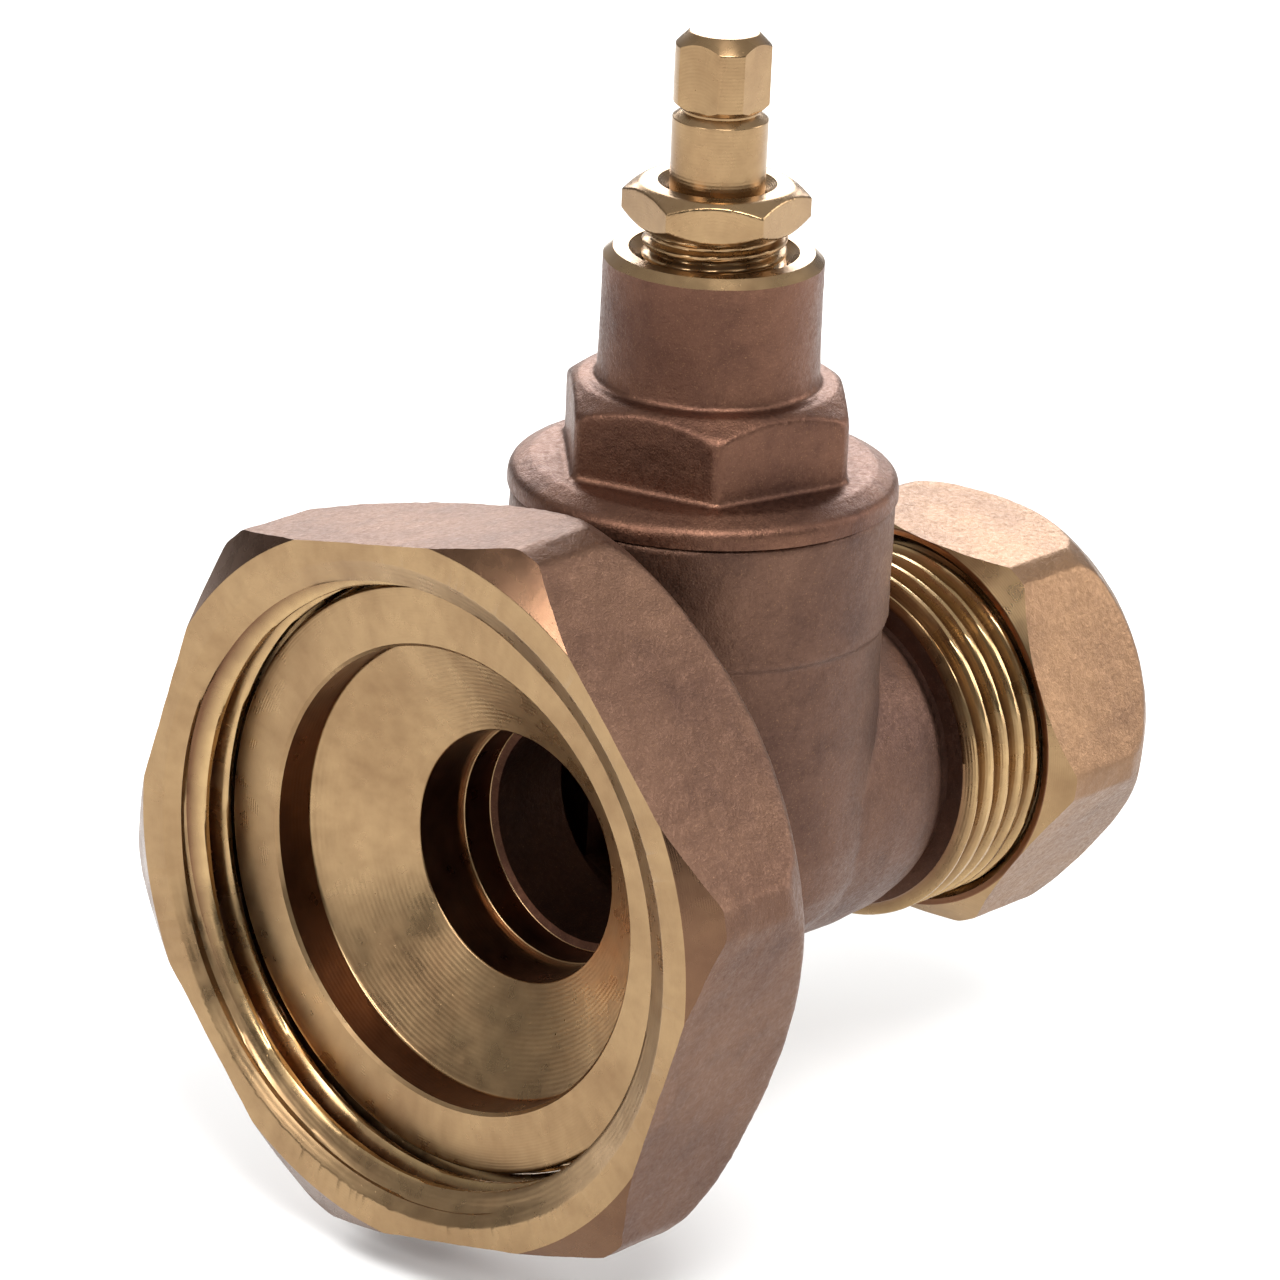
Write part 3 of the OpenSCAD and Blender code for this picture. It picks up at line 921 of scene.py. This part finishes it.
def make_gland_nut():
    corner = corner_radius(GLAND_AF)
    hole_r = SPINDLE_R + 0.1
    nut = hex_bar("gland_nut_solid", GLAND_AF, GLAND_HEX_Z, GLAND_TOP_Z, GLAND_TURN)
    keep_inside(nut, revolve("limit", rounded([
        (0, GLAND_HEX_Z),
        (corner - 1.1, GLAND_HEX_Z),
        (corner, GLAND_HEX_Z + 0.8),
        (corner, GLAND_TOP_Z - 0.9),
        (corner - 1.4, GLAND_TOP_Z),
        (0, GLAND_TOP_Z),
    ]), SPINDLE_SEGMENTS))
    forge(nut, 0.1, 3)
    add(nut, thread_rod("thread", GLAND_ROOT_R, GLAND_CREST_R, GLAND_PITCH, GLAND_Z0, GLAND_HEX_Z + 0.3,
                        segments=SPINDLE_SEGMENTS, fade_out=1))
    cut(nut, revolve("hole", [
        (0, GLAND_Z0 - 1),
        (hole_r, GLAND_Z0 - 1),
        (hole_r, GLAND_TOP_Z - 0.7),
        (SPINDLE_R + 0.95, GLAND_TOP_Z + 0.1),
        (0, GLAND_TOP_Z + 0.1),
    ], SPINDLE_SEGMENTS))
    on_spindle(nut)
    return finish_piece(nut, "valve", [SPINDLE_TURNED], ("gland_nut",))


# ---------------------------------------------------------------- spindle, olive and ring

def make_spindle():
    groove_r = SPINDLE_R - GROOVE_DEPTH
    stem = revolve("spindle_stem", rounded([
        (0, SPINDLE_LOW_Z),
        (2.4, SPINDLE_LOW_Z),
        (3.2, SPINDLE_LOW_Z + 0.4),
        (3.2, SPINDLE_COLLAR_Z0),
        (SPINDLE_COLLAR_R, SPINDLE_COLLAR_Z0, 0.1),
        (SPINDLE_COLLAR_R, SPINDLE_COLLAR_Z1, 0.1),
        (SPINDLE_R, SPINDLE_COLLAR_Z1),
        (SPINDLE_R, SQUARE_Z - 1.15, 0.12),
        (groove_r, SQUARE_Z - 0.65),
        (groove_r, SQUARE_Z - 0.5),
        (SPINDLE_R, SQUARE_Z, 0.12),
        (SPINDLE_R, SPINDLE_TOP_Z - 1, 0.2),
        (SPINDLE_R - 1, SPINDLE_TOP_Z, 0.2),
        (0, SPINDLE_TOP_Z),
    ]), SPINDLE_SEGMENTS)
    add(stem, thread_rod("thread", LIFT_ROOT_R, LIFT_CREST_R, LIFT_PITCH, LIFT_Z0, LIFT_Z1, hand=-1,
                         segments=SPINDLE_SEGMENTS))
    for side in range(4):
        flat = block("flat", (SQUARE_AF / 2, -9, SQUARE_Z - 0.25), (9, 9, 70))
        flat.data.transform(Matrix.Rotation(math.radians(SQUARE_TURN + 90 * side), 4, "Z"))
        cut(stem, flat)
    on_spindle(stem)
    return finish_piece(stem, "spindle", [SPINDLE_TURNED], ("spindle",))


def make_olive():
    olive = revolve("olive_ring", rounded([
        (0, OLIVE_X0),
        (OLIVE_TIP_R, OLIVE_X0, 0.1),
        (OLIVE_R, OLIVE_X0 + 1.5, 0.8),
        (OLIVE_R, OLIVE_X1 - 1.5, 0.8),
        (OLIVE_TIP_R, OLIVE_X1, 0.1),
        (0, OLIVE_X1),
    ]))
    cut(olive, revolve("hole", [(0, 50), (PIPE_R + 0.01, 50), (PIPE_R + 0.01, 70), (0, 70)]))
    along_flow(olive)
    return finish_piece(olive, "olive", [OLIVE_BRASS], ("olive",))


def make_retaining_ring():
    ring = revolve("spring_ring", rounded([
        (0, RING_X0),
        (RING_OUT_R, RING_X0, 0.3),
        (RING_OUT_R, RING_X1, 0.3),
        (0, RING_X1),
    ]))
    edge_r = RING_IN_R + 0.25
    cut(ring, revolve("hole", rounded([
        (0, RING_X0 - 1),
        (edge_r, RING_X0 - 1),
        (edge_r, RING_X0),
        (RING_IN_R, RING_X0 + 0.25),
        (RING_IN_R, RING_X1 - 0.25),
        (edge_r, RING_X1),
        (edge_r, RING_X1 + 1),
        (0, RING_X1 + 1),
    ])))
    half = math.tan(math.radians(RING_SPLIT_DEG / 2)) * RING_SPLIT_R
    cut(ring, block("split", (15, -half, RING_X0 - 2), (30, half, RING_X1 + 2)))
    along_flow(ring)
    steel = plain_material("spring_steel", rgb(150, 148, 144), rgb(118, 114, 108), 0.3, 1.0)
    return finish_piece(ring, "retaining_ring", [steel], ("nut_retaining_ring",))


def dress_hidden_nodes():
    """The pieces that stay as CAD nodes: they are inside the valve."""
    looks = {
        "gate": SPINDLE_TURNED,
        "gland_follower": SPINDLE_TURNED,
        "gland_packing": plain_material("ptfe", rgb(226, 224, 214), rgb(200, 197, 186), 0.45),
        "bonnet_gasket": plain_material("fibre", rgb(120, 84, 60), rgb(92, 62, 44), 0.7),
    }
    for node, material in looks.items():
        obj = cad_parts[node]
        if obj.material_slots:
            for place in obj.material_slots:
                place.material = material
        else:
            obj.data.materials.append(material)


# ---------------------------------------------------------------- stage, in metres

CAMERA_AZIMUTH = -48.9            # degrees
CAMERA_ELEVATION = 20.26
CAMERA_ROLL = 2.6
CAMERA_DISTANCE = 0.5415
CAMERA_LENS = 204.0
CAMERA_TARGET = Vector((0.0263, 0.0057, 0.0105))
FLOOR_Z = -0.0302
FLOOR_HALF = 6
DARK_SIDE = (-0.75, -0.66, 0)     # the unlit side of the studio, a direction


def add_camera():
    azimuth = math.radians(CAMERA_AZIMUTH)
    elevation = math.radians(CAMERA_ELEVATION)
    roll = math.radians(CAMERA_ROLL)
    back = Vector((
        math.sin(azimuth) * math.cos(elevation),
        -math.cos(azimuth) * math.cos(elevation),
        math.sin(elevation),
    ))
    data = bpy.data.cameras.new("camera")
    data.lens = CAMERA_LENS
    data.sensor_width = 36
    data.clip_start = 0.01
    data.clip_end = 50
    camera = bpy.data.objects.new("camera", data)
    bpy.context.scene.collection.objects.link(camera)
    right = (-back).cross(Vector((0, 0, 1))).normalized()
    up = right.cross(-back)
    side = right * math.cos(roll) + up * math.sin(roll)
    top = up * math.cos(roll) - right * math.sin(roll)
    turn = Matrix((side, top, back)).transposed().to_4x4()
    camera.matrix_world = Matrix.Translation(CAMERA_TARGET + back * CAMERA_DISTANCE) @ turn
    bpy.context.scene.camera = camera


def add_light(name, place, size, power):
    """A rectangular lamp that looks at the valve."""
    data = bpy.data.lights.new(name, "AREA")
    data.shape = "RECTANGLE"
    data.size, data.size_y = size
    data.energy = power
    light = bpy.data.objects.new(name, data)
    light.location = place
    light.rotation_euler = (CAMERA_TARGET - Vector(place)).to_track_quat("-Z", "Y").to_euler()
    bpy.context.scene.collection.objects.link(light)


def add_floor():
    corners = [(-FLOOR_HALF, -FLOOR_HALF, FLOOR_Z), (FLOOR_HALF, -FLOOR_HALF, FLOOR_Z),
               (FLOOR_HALF, FLOOR_HALF, FLOOR_Z), (-FLOOR_HALF, FLOOR_HALF, FLOOR_Z)]
    floor = new_object("floor", corners, [(0, 1, 2, 3)])
    n = Nodes("floor_card")
    n.link(n.mix(n.noise(40, 2), rgb(250, 250, 249), rgb(247, 247, 246)), "Base Color")
    n.shader.inputs["Roughness"].default_value = 0.85
    floor.data.materials.append(n.material)


def add_world():
    """A grey studio, lighter overhead and dim towards DARK_SIDE, for the brass to mirror."""
    world = bpy.data.worlds.new("studio")
    world.use_nodes = True
    tree = world.node_tree
    sky = tree.nodes["Background"]
    place = tree.nodes.new("ShaderNodeTexCoord").outputs["Generated"]
    split = tree.nodes.new("ShaderNodeSeparateXYZ")
    tree.links.new(place, split.inputs[0])
    ramp = tree.nodes.new("ShaderNodeValToRGB")
    tree.links.new(split.outputs["Z"], ramp.inputs[0])
    low, high = ramp.color_ramp.elements
    low.position = 0.0
    low.color = (0.22, 0.21, 0.21, 1)
    high.position = 0.9
    high.color = (0.75, 0.75, 0.75, 1)
    front = tree.nodes.new("ShaderNodeVectorMath")
    front.operation = "DOT_PRODUCT"
    front.inputs[1].default_value = DARK_SIDE
    tree.links.new(place, front.inputs[0])
    dim = tree.nodes.new("ShaderNodeMapRange")
    dim.inputs["From Min"].default_value = 0.35
    dim.inputs["From Max"].default_value = 0.85
    dim.inputs["To Min"].default_value = 1.0
    dim.inputs["To Max"].default_value = 0.15
    tree.links.new(front.outputs["Value"], dim.inputs["Value"])
    dimmed = tree.nodes.new("ShaderNodeVectorMath")
    dimmed.operation = "SCALE"
    tree.links.new(ramp.outputs[0], dimmed.inputs[0])
    tree.links.new(dim.outputs[0], dimmed.inputs["Scale"])
    tree.links.new(dimmed.outputs[0], sky.inputs["Color"])
    sky.inputs["Strength"].default_value = 0.9
    bpy.context.scene.world = world


def add_stage():
    add_floor()
    add_world()
    add_light("key", (-0.35, -0.5, 0.85), (0.45, 0.45), 9.5)
    add_light("fill", (0.7, -0.45, 0.3), (0.3, 0.5), 3)
    add_light("rim", (0.72, 0.62, 0.46), (0.9, 0.4), 9)
    add_light("front", (-0.78, 0.05, 0.48), (0.3, 0.3), 4)
    bpy.context.scene.view_settings.view_transform = "Standard"


make_valve_body()
make_bonnet()
make_union_nut()
make_compression_nut()
make_spindle()
make_gland_nut()
make_olive()
make_retaining_ring()
dress_hidden_nodes()
add_camera()
add_stage()
